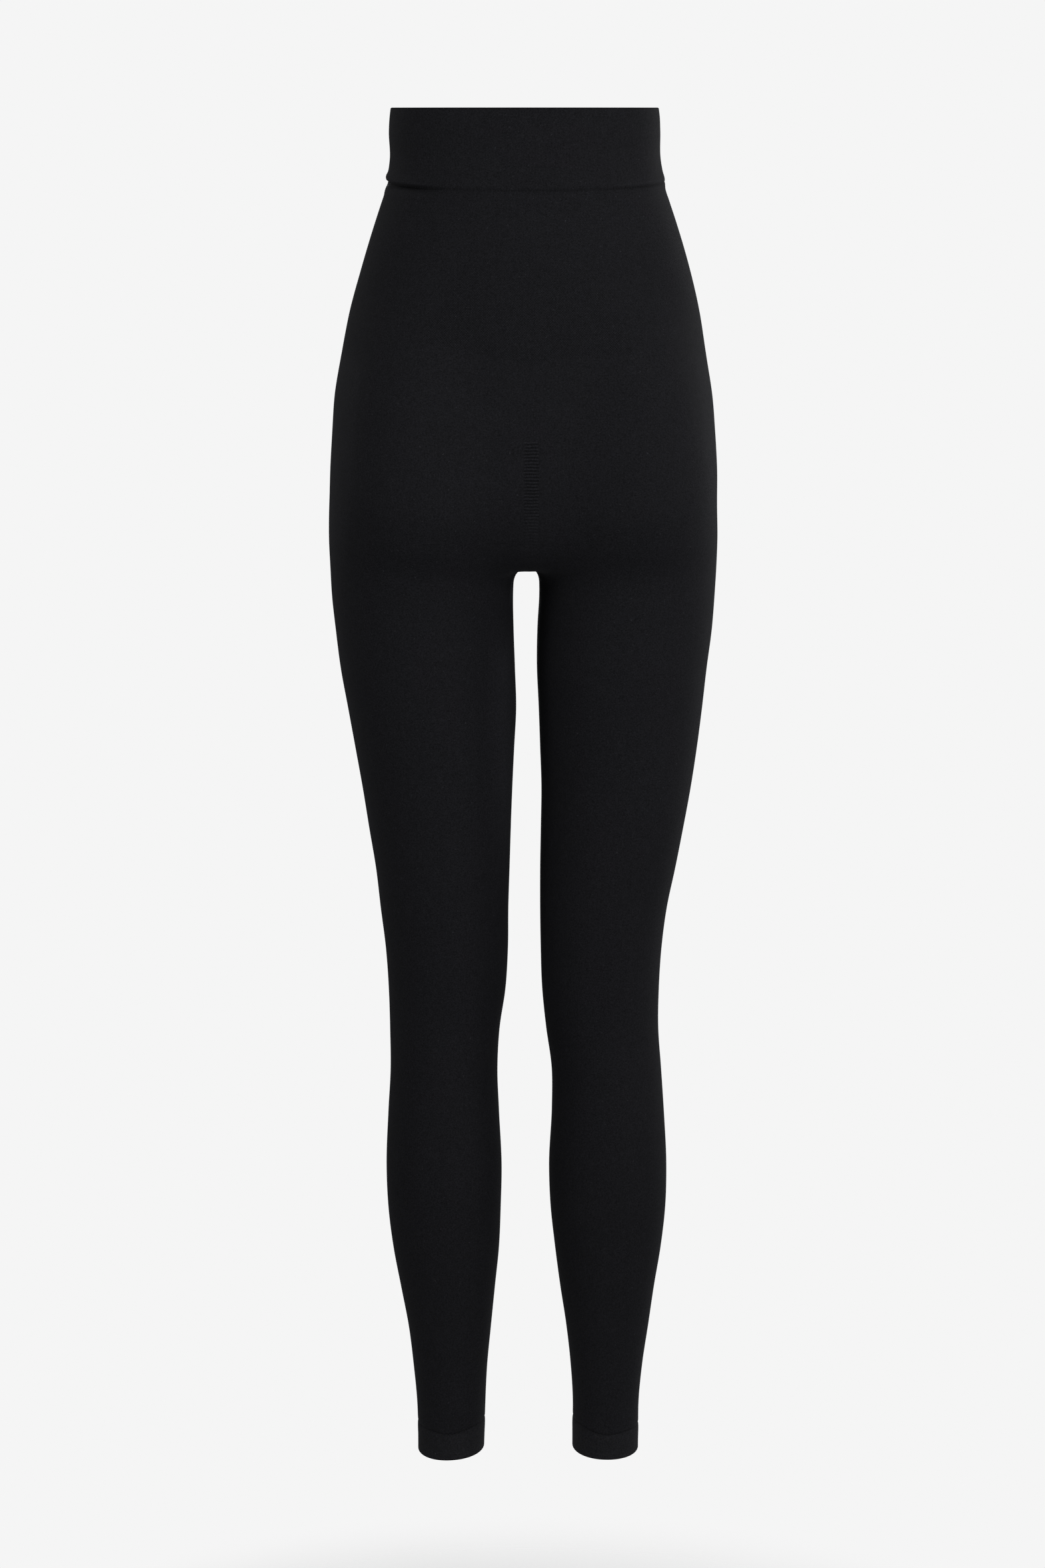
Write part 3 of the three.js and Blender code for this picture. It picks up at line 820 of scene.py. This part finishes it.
def make_body_and_legs():
    """One continuous knit: the hip tube, the crotch and both legs."""
    surface = Surface()
    hip, hip_numbers = add_hip(surface)
    saddle, saddle_numbers = add_saddle(surface)
    for side, leg in ((-1, "leg_left"), (1, "leg_right")):
        half = np.arange(HALF + 1) * side % HIP_COLUMNS
        start = np.concatenate([hip[half], saddle[::-1]])
        numbers = np.concatenate([hip_numbers[half], saddle_numbers[::-1]])
        thigh = add_crotch(surface, side, start, numbers)
        add_leg(surface, side, leg, thigh)
    surface.finish(body_relief)
    zones = {"panel": panel_zone, "shaping": shaping_zone, "seam": seam_shade, "leg": leg_painted_light_and_shade}
    return [
        surface.shell(piece, f"{piece}_cloth", KNIT_THICKNESS, zones)
        for piece in ("body", "leg_left", "leg_right")
    ]


def rounded_edge(surface, thickness, towards, columns):
    """How far each point near the folded edge moves in towards the middle of the cloth, in metres,
    so that the edge is round with a radius of half the thickness."""
    radius = thickness / 2
    edge = towards * surface.form_points[:, 2].reshape(-1, columns)
    limit = edge.max(axis=0)
    inset = np.clip(radius - (limit - edge), 0.0, radius) / radius
    depth = radius * (1.0 - np.sqrt(np.clip(1.0 - inset * inset, 0.0, 1.0)))
    return depth.ravel() * MM


def make_folded_tube(name, piece, rows_of, drops, thickness, relief, turned=False, fold="top"):
    """A tube of double cloth with one folded edge, rounded over, and one edge that is sewn on."""
    surface = Surface()
    points = rows_of(drops)
    numbers = surface.add(points)
    for upper, lower in zip(numbers[:-1], numbers[1:]):
        surface.band(piece, upper, lower, turned)
    surface.rim(piece, numbers[0][::-1] if turned else numbers[0])
    surface.rim(piece, numbers[-1] if turned else numbers[-1][::-1])
    surface.finish(relief)
    depth = rounded_edge(surface, thickness, -1 if fold == "top" else 1, drops.shape[1])
    tube = surface.shell(piece, name, thickness, {"seam": seam_shade})
    # The tube's outer points come first, and then its inner ones
    coordinates = np.empty(2 * surface.count * 3)
    tube.data.vertices.foreach_get("co", coordinates)
    coordinates = coordinates.reshape(2, -1, 3)
    middle = coordinates.mean(axis=0)
    keep = 1.0 - depth / (thickness / 2 * MM)
    coordinates = middle + (coordinates - middle) * keep[:, None]
    tube.data.vertices.foreach_set("co", coordinates.ravel())
    tube.data.update()
    return tube


def folded_fractions(rows, height, radius):
    """Rows from a folded edge to a sewn one, closer together at both."""
    turn = radius / height * (1.0 - np.cos(np.linspace(0.0, math.pi / 2, FOLD_STEPS + 1)))
    rest = np.linspace(1.0, 0.0, rows + 1)[1:] ** SEAM_CROWDING
    return np.concatenate([turn, 1.0 - (1.0 - radius / height) * rest])


def make_waistband():
    angles = hip_angles()
    fractions = folded_fractions(BAND_ROWS, BAND_SEAM_FRONT, BAND_THICKNESS / 2)
    drops = fractions[:, None] * band_seam(angles)[None, :]
    return make_folded_tube("waistband_cloth", "band", hip_rows, drops, BAND_THICKNESS, band_relief)


def make_hem(name, side):
    angles = leg_angles()
    fractions = 1.0 - folded_fractions(HEM_ROWS, HEM_END - HEM_SEAM, HEM_THICKNESS / 2)[::-1]
    end = HEM_END - HEM_RISE[side] * (1.0 + np.cos(angles)) / 2
    seam = hem_seam(side, angles)
    drops = seam[None, :] + (end - seam)[None, :] * fractions[:, None]

    def rows_of(drops):
        return leg_points(side, angles[None, :] + 0 * drops, drops)

    return make_folded_tube(
        name, "hem", rows_of, drops, HEM_THICKNESS, hem_relief, turned=side < 0, fold="bottom"
    )


LADDER_COLUMNS = 49
LADDER_STEPS = 8
LADDER_FLARE = 1.0
LADDER_FLARE_DROP = 277.0
LADDER_FLARE_WIDTH = 7.0
LADDER_RELIEF = 0.30
LADDER_SHARPNESS = 1.5
LADDER_FLOOR = 0.25
LADDER_NO_WRAP = 10.0

# The strip's edges waver in waves, each with a reach, a length and a start
LADDER_WAVER = ((0.25, 2.3, 0.0), (0.2, 0.9, 1.3))

# Shares of its length over which its dark top ends and its pattern weakens
LADDER_TOP_ENDS = (0.12, 0.50)
LADDER_WEAKENS = (0.40, 1.0)
LADDER_WEAKER = 0.70

# Its tone, and how much lighter or darker its bars, the lines between them and the holes are. The
# dark top changes the last two
LADDER_TONE = 1.06
BAR_LIGHTER = 0.24
LINE_DARKER = 0.40
LINE_TOP_CHANGE = 0.18
HOLE_DARKER = 0.22
HOLE_TOP_CHANGE = 0.60
LADDER_TONE_RANGE = (0.05, 1.5)


def make_ladder():
    """The ladder strip: short bars across, with a row of small holes between each two."""
    rows = LADDER_BARS * LADDER_STEPS + 1
    down = np.linspace(0.0, 1.0, rows)[:, None]
    across = np.linspace(-1.0, 1.0, LADDER_COLUMNS)[None, :]
    drop = LADDER_TOP + (LADDER_END - LADDER_TOP) * down
    waver = sum(reach * np.sin(drop / length + start) for reach, length, start in LADDER_WAVER)
    flare = LADDER_FLARE * hump(drop - LADDER_FLARE_DROP, LADDER_FLARE_WIDTH)
    x = across * (LADDER_HALF_WIDTH + waver + flare)
    points = surface_points(packed(x, HIP_MIDDLE, drop), packed(0 * x, -1.0, 0 * drop))
    bar_phase = down * LADDER_BARS - 0.04 * np.sin(across * 4.0 + drop / 9.0)
    bar = 0.5 - 0.5 * np.cos(2 * math.pi * bar_phase)
    line = (1.0 - bar) ** LADDER_SHARPNESS
    hole = (0.5 + 0.5 * np.cos(2 * math.pi * across * LADDER_WALES / 2)) ** LADDER_SHARPNESS * line
    top = 1.0 - smoothstep(down, *LADDER_TOP_ENDS)
    strength = 1.0 - LADDER_WEAKER * smoothstep(down, *LADDER_WEAKENS)
    edge = 1.0 - np.abs(across) ** 8
    height = LADDER_RELIEF * (strength * (bar - hole) - 1.0) * edge - LADDER_BED * 0.8 * (1.0 - edge)
    tone = BAR_LIGHTER * bar
    tone = tone - (LINE_DARKER - LINE_TOP_CHANGE * top) * line
    tone = tone - (HOLE_DARKER + HOLE_TOP_CHANGE * top) * hole
    tone = np.clip(LADDER_TONE + strength * tone, *LADDER_TONE_RANGE)
    flat = points.reshape(-1, 3)
    normals = form_normals(flat)
    outer = to_metres(flat) + normals * (height.reshape(-1, 1) * MM)
    inner = to_metres(flat) - normals * ((LADDER_BED + LADDER_FLOOR) * MM)
    numbers = np.arange(len(flat)).reshape(rows, LADDER_COLUMNS)
    quads = np.column_stack([
        numbers[:-1, :-1].ravel(), numbers[1:, :-1].ravel(),
        numbers[1:, 1:].ravel(), numbers[:-1, 1:].ravel(),
    ])
    loop = np.concatenate([
        numbers[0, :-1], numbers[:-1, -1], numbers[-1, :0:-1], numbers[:0:-1, 0],
    ])
    ahead = np.roll(loop, -1)
    count = len(flat)
    rim = np.column_stack([loop, ahead, ahead + count, loop + count])
    surface_normals = vertex_normals(outer, quads)
    return make_mesh(
        "ladder_cloth",
        np.concatenate([outer, inner]),
        np.concatenate([quads, quads[:, ::-1] + count, rim]),
        np.concatenate([surface_normals, -normals]),
        across=np.tile(flat[:, 0] * MM, 2),
        around=np.full(2 * count, LADDER_NO_WRAP),
        values={"ladder": np.tile(tone.ravel(), 2)},
    )


# Materials


class Tree:
    """Adds and links the nodes of one material."""

    def __init__(self, material):
        material.use_nodes = True
        self.nodes = material.node_tree.nodes
        self.links = material.node_tree.links
        self.nodes.clear()

    def add(self, kind, inputs=None, **settings):
        node = self.nodes.new(kind)
        for key, value in settings.items():
            setattr(node, key, value)
        for key, value in (inputs or {}).items():
            if isinstance(value, bpy.types.NodeSocket):
                self.links.new(value, node.inputs[key])
            else:
                node.inputs[key].default_value = value
        return node

    def math(self, operation, *values):
        inputs = dict(enumerate(values))
        return self.add("ShaderNodeMath", inputs, operation=operation).outputs[0]

    def noise(self, vector, size, detail=2.0, roughness=0.5):
        """Noise from about 0 to 1 with lumps of a size in millimetres."""
        inputs = {"Vector": vector, "Scale": 1.0 / (size * MM), "Detail": detail, "Roughness": roughness}
        return self.add("ShaderNodeTexNoise", inputs).outputs["Fac"]

    def attribute(self, name):
        return self.add("ShaderNodeAttribute", attribute_name=name).outputs["Fac"]

    def wave(self, coordinate, pitch):
        """A cosine from 0 to 1 along a coordinate in metres, with a pitch in millimetres."""
        angle = self.math("MULTIPLY", coordinate, 2 * math.pi / (pitch * MM))
        return self.math("MULTIPLY_ADD", self.math("COSINE", angle), 0.5, 0.5)

    def grey(self, tone):
        channels = {"Red": tone, "Green": tone, "Blue": tone}
        return self.add("ShaderNodeCombineColor", channels).outputs["Color"]


KNIT_COLOUR = (0.0086, 0.00862, 0.0101)
BAND_COLOUR = (0.0085, 0.00852, 0.0099)
HEM_COLOUR = (0.0101, 0.01012, 0.0115)
SHEEN_TINT = (0.93, 0.95, 1.0, 1.0)

# Sizes of the cloth's noises and patterns, in millimetres
WOBBLE_SIZE = 9.0
WOBBLE_REACH = 0.6
FINE_SIZE = 1.15
COARSE_SIZE = 5.5
BROAD_SIZE = 38.0
LINT_SIZE = 1.6
EYE_PITCH = 1.9
STITCH_PITCH = 2.7

# How strong the patterns' tones are
FINE_TONE = 2.0
COARSE_TONE = 0.30
BROAD_TONE = 0.16
LINT_TONE = 1.3
LINT_EDGE = (0.79, 0.90)
EYE_TONE = 0.72
PANEL_TONE = 0.74
SHAPING_TONE = 0.13


def add_zones(tree, flat, tone, height):
    """Adds the finer knit's small eyes, the zones' tones and the legs' painted light and shade. Returns the
    new tone and height.
    """
    panel = tree.attribute("panel")
    left = tree.math("ADD", flat["X"], flat["Y"])
    right = tree.math("SUBTRACT", flat["X"], flat["Y"])
    eyes = tree.math("MULTIPLY", tree.wave(left, EYE_PITCH), tree.wave(right, EYE_PITCH))
    strong = tree.math("MULTIPLY_ADD", eyes, EYE_TONE, PANEL_TONE)
    mix = tree.add("ShaderNodeMix", {"Factor": panel, "A": 1.0, "B": strong}, data_type="FLOAT")
    shaping = tree.math("MULTIPLY_ADD", tree.attribute("shaping"), SHAPING_TONE, 1.0)
    tone = tree.math("MULTIPLY", tone, mix.outputs["Result"])
    tone = tree.math("MULTIPLY", tone, shaping)
    # Painted light inside the left thigh and painted shade on the calves
    tone = tree.math("MULTIPLY", tone, tree.math("ADD", tree.attribute("leg"), 1.0))
    height = tree.math("ADD", height, tree.math("MULTIPLY", eyes, panel))
    return tone, height


def knit_material(name, colour, wale, course, depth, contrast, zones=False, seam=False, ladder=False):
    """Fine knit: wales down the cloth, courses across it, a mottle of loops and a faint sheen. The
    wales' and courses' widths and the depth of the bump are in millimetres."""
    material = bpy.data.materials.new(name)
    tree = Tree(material)
    position = tree.add("ShaderNodeTexCoord").outputs["Object"]
    uv = tree.add("ShaderNodeUVMap", uv_map="knit").outputs["UV"]
    flat = tree.add("ShaderNodeSeparateXYZ", {"Vector": uv}).outputs
    wobble = tree.noise(position, WOBBLE_SIZE, 1.0)
    across = tree.math("MULTIPLY_ADD", wobble, WOBBLE_REACH * MM, flat["X"])
    wales = tree.wave(across, wale)
    courses = tree.wave(flat["Y"], course)
    loops = tree.math("MULTIPLY", wales, tree.math("MULTIPLY_ADD", courses, 0.5, 0.5))

    fine = tree.noise(position, FINE_SIZE, 2.0, 0.65)
    tone = tree.math("MULTIPLY", fine, FINE_TONE)
    for pattern, strength, level in (
        (tree.noise(position, COARSE_SIZE, 3.0, 0.55), COARSE_TONE, 1.0 - COARSE_TONE / 2),
        (tree.noise(position, BROAD_SIZE, 2.0, 0.5), BROAD_TONE, 1.0 - BROAD_TONE / 2),
        (loops, contrast, 1.0 - 0.4 * contrast),
    ):
        tone = tree.math("MULTIPLY", tone, tree.math("MULTIPLY_ADD", pattern, strength, level))
    lint = tree.add("ShaderNodeMapRange", {
        "Value": tree.noise(position, LINT_SIZE, 0.0), "From Min": LINT_EDGE[0], "From Max": LINT_EDGE[1],
        "To Min": 0.0, "To Max": LINT_TONE,
    }).outputs["Result"]
    tone = tree.math("ADD", tone, lint)
    height = tree.math("MULTIPLY_ADD", fine, 0.5, loops)

    if zones:
        tone, height = add_zones(tree, flat, tone, height)
    # The seams' dark lines, painted shade in their grooves and under the waistband's fold, and a painted
    # highlight on the ridge above the fold, dotted like stitches
    if seam:
        stitches = tree.math("MULTIPLY_ADD", tree.wave(flat["X"], STITCH_PITCH), -0.5, -0.5)
        shade = tree.math("MULTIPLY_ADD", tree.attribute("seam"), stitches, 1.0)
        tone = tree.math("MULTIPLY", tone, shade)
    if ladder:
        tone = tree.math("MULTIPLY", tone, tree.attribute("ladder"))

    toned = tree.add("ShaderNodeMix", {"Factor": 1.0}, data_type="RGBA", blend_type="MULTIPLY")
    toned.inputs["A"].default_value = (*colour, 1.0)
    tree.links.new(tree.grey(tone), toned.inputs["B"])
    bump = tree.add("ShaderNodeBump", {"Height": height, "Distance": depth * MM, "Strength": 0.6})
    shader = tree.add("ShaderNodeBsdfPrincipled", {
        "Base Color": toned.outputs["Result"],
        "Normal": bump.outputs["Normal"],
        "Roughness": 0.8,
        "Specular IOR Level": 0.05,
        "Sheen Weight": 0.02,
        "Sheen Roughness": 0.4,
        "Sheen Tint": SHEEN_TINT,
    })
    tree.add("ShaderNodeOutputMaterial", {"Surface": shader.outputs["BSDF"]})
    return material


# Stage, light and camera

BACKGROUND = 0.913
FLOOR_DROP = 1400.0
FLOOR_SEGMENTS = 96
FLOOR_RINGS = 8
FLOOR_TONE = 0.80
FLOOR_SPECKLE = 0.02
FLOOR_SPECKLE_SIZE = 3.0
GLOW_COLOUR = (0.97, 0.985, 1.0, 1.0)
GLOW_STRENGTH = 0.12

# Radii in metres: the floor is whole inside the first and gone at the second
FLOOR_SOLID = 0.34
FLOOR_EDGE = 0.62

# Soft rectangular lights that look at the target: places and sizes in metres, powers in watts
LIGHT_TARGET = (0.0, 0.0, -0.4)
LIGHTS = (
    ("high_back", (0.1, -2.2, 2.0), (1.8, 1.8), 8.0),
    ("near_right", (1.2, -2.8, 0.4), (1.0, 2.4), 53.0),
    ("back_right", (2.1, -1.6, 0.4), (1.0, 2.4), 13.0),
    ("back_left", (-2.1, -1.6, 0.4), (1.0, 2.4), 24.5),
    ("right", (2.4, 0.1, 0.4), (1.0, 2.4), 20.5),
    ("left", (-2.4, 0.1, 0.4), (1.0, 2.4), 4.0),
    ("front_right", (1.7, 1.6, 0.4), (1.0, 2.4), 13.5),
    ("front_left", (-1.7, 1.6, 0.4), (1.0, 2.4), 7.0),
    ("front", (-0.1, 3.2, 0.4), (0.7, 2.4), 42.0),
)

# The photo's camera: its place in metres, and its tilt and turn in degrees
CAMERA_PLACE = (-0.1077, -2.9982, 0.032)
CAMERA_TILT = 79.805
CAMERA_TURN = -2.0
CAMERA_LENS = 86.39
SENSOR_WIDTH = 36.0


def make_floor():
    """A pale round floor below the hems, whose edge fades into the background."""
    segments = FLOOR_SEGMENTS
    radii = FLOOR_EDGE * np.arange(1, FLOOR_RINGS + 1) / FLOOR_RINGS
    turns = 2 * math.pi * np.arange(segments) / segments
    z = (WAIST_TOP - FLOOR_DROP) * MM
    points = [(0.0, 0.0, z)]
    points += [(r * math.cos(a), r * math.sin(a), z) for r in radii for a in turns]
    faces = [(0, 1 + i, 1 + (i + 1) % segments) for i in range(segments)]
    for ring in range(FLOOR_RINGS - 1):
        inner, outer = 1 + ring * segments, 1 + (ring + 1) * segments
        for i in range(segments):
            j = (i + 1) % segments
            faces.append((inner + i, outer + i, outer + j, inner + j))
    mesh = bpy.data.meshes.new("floor")
    mesh.from_pydata(points, [], faces)
    floor = bpy.data.objects.new("floor", mesh)
    bpy.context.scene.collection.objects.link(floor)
    material = bpy.data.materials.new("floor_pale")
    tree = Tree(material)
    position = tree.add("ShaderNodeTexCoord").outputs["Object"]
    level = {0: position, 1: (1.0, 1.0, 0.0)}
    flat = tree.add("ShaderNodeVectorMath", level, operation="MULTIPLY").outputs["Vector"]
    radius = tree.add("ShaderNodeVectorMath", {0: flat}, operation="LENGTH").outputs["Value"]
    fade = tree.add("ShaderNodeMapRange", {
        "Value": radius, "From Min": FLOOR_SOLID, "From Max": FLOOR_EDGE, "To Min": 0.0, "To Max": 1.0,
    }, interpolation_type="SMOOTHSTEP").outputs["Result"]
    speckle = tree.noise(position, FLOOR_SPECKLE_SIZE, 2.0)
    colour = tree.grey(tree.math("MULTIPLY_ADD", speckle, FLOOR_SPECKLE, FLOOR_TONE))
    surface = tree.add("ShaderNodeBsdfPrincipled", {"Base Color": colour, "Roughness": 0.9}).outputs["BSDF"]
    clear = tree.add("ShaderNodeBsdfTransparent").outputs["BSDF"]
    mixed = tree.add("ShaderNodeMixShader", {0: fade, 1: surface, 2: clear}).outputs["Shader"]
    tree.add("ShaderNodeOutputMaterial", {"Surface": mixed})
    mesh.materials.append(material)


def make_world():
    """An even pale background, which the camera sees, and a weaker glow, which lights the cloth."""
    world = bpy.data.worlds.new("studio")
    bpy.context.scene.world = world
    tree = Tree(world)
    seen = tree.add("ShaderNodeBackground", {"Color": (BACKGROUND,) * 3 + (1.0,), "Strength": 1.0})
    glow = tree.add("ShaderNodeBackground", {"Color": GLOW_COLOUR, "Strength": GLOW_STRENGTH})
    camera_ray = tree.add("ShaderNodeLightPath").outputs["Is Camera Ray"]
    mixed = tree.add("ShaderNodeMixShader", {0: camera_ray, 1: glow.outputs[0], 2: seen.outputs[0]})
    tree.add("ShaderNodeOutputWorld", {"Surface": mixed.outputs["Shader"]})


def make_light(name, place, size, power):
    """A soft rectangular light that looks at the garment's middle."""
    light = bpy.data.lights.new(name, "AREA")
    light.shape = "RECTANGLE"
    light.size, light.size_y = size
    light.energy = power
    lamp = bpy.data.objects.new(name, light)
    lamp.location = place
    lamp.visible_camera = False
    direction = Vector(LIGHT_TARGET) - Vector(place)
    lamp.rotation_euler = direction.to_track_quat("-Z", "Y").to_euler()
    bpy.context.scene.collection.objects.link(lamp)


def make_camera():
    """The photo's view: 3 m behind the garment, level with the waist, looking slightly down."""
    camera = bpy.data.cameras.new("camera")
    camera.sensor_width = SENSOR_WIDTH
    camera.lens = CAMERA_LENS
    camera.sensor_fit = "AUTO"
    view = bpy.data.objects.new("camera", camera)
    view.location = CAMERA_PLACE
    view.rotation_euler = Euler((math.radians(CAMERA_TILT), 0.0, math.radians(CAMERA_TURN)))
    bpy.context.scene.collection.objects.link(view)
    bpy.context.scene.camera = view


make_camera()
make_world()
for name, place, size, power in LIGHTS:
    make_light(name, place, size, power)
make_floor()

view_settings = bpy.context.scene.view_settings
view_settings.view_transform = "Standard"
view_settings.look = "None"

knit = knit_material(
    "jersey", KNIT_COLOUR, wale=1.05, course=0.75, depth=0.07, contrast=0.20, zones=True, seam=True
)
band_knit = knit_material(
    "double_knit", BAND_COLOUR, wale=1.2, course=0.8, depth=0.10, contrast=0.32, seam=True
)
hem_knit = knit_material(
    "hem_knit", HEM_COLOUR, wale=1.2, course=0.8, depth=0.10, contrast=0.30, seam=True
)
ladder_knit = knit_material(
    "ladder_knit", KNIT_COLOUR, wale=1.2, course=0.8, depth=0.05, contrast=0.12, ladder=True
)

body, leg_left, leg_right = make_body_and_legs()
waistband = make_waistband()
hem_left = make_hem("hem_left_cloth", -1)
hem_right = make_hem("hem_right_cloth", 1)
ladder = make_ladder()

# Each piece: its material, the record's slot, the solids it stands for, and the flat cut of what
# shows, in metres
PIECES = (
    (waistband, band_knit, "band_knit", ("waistband",), (0.615, 0.0605)),
    (body, knit, "knit", ("upper_panel", "seat"), (0.80, 0.34)),
    (leg_left, knit, "knit", ("leg_left_upper", "leg_left_lower"), (0.35, 0.68)),
    (leg_right, knit, "knit", ("leg_right_upper", "leg_right_lower"), (0.35, 0.68)),
    (hem_left, hem_knit, "band_knit", ("hem_left",), (0.193, 0.0265)),
    (hem_right, hem_knit, "band_knit", ("hem_right",), (0.193, 0.0255)),
    (ladder, ladder_knit, "knit", ("back_ladder",), (0.0116, 0.0865)),
)
for piece, material, slot, nodes, flat in PIECES:
    piece.data.materials.append(material)
    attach(piece, "root")
    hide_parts(*nodes)
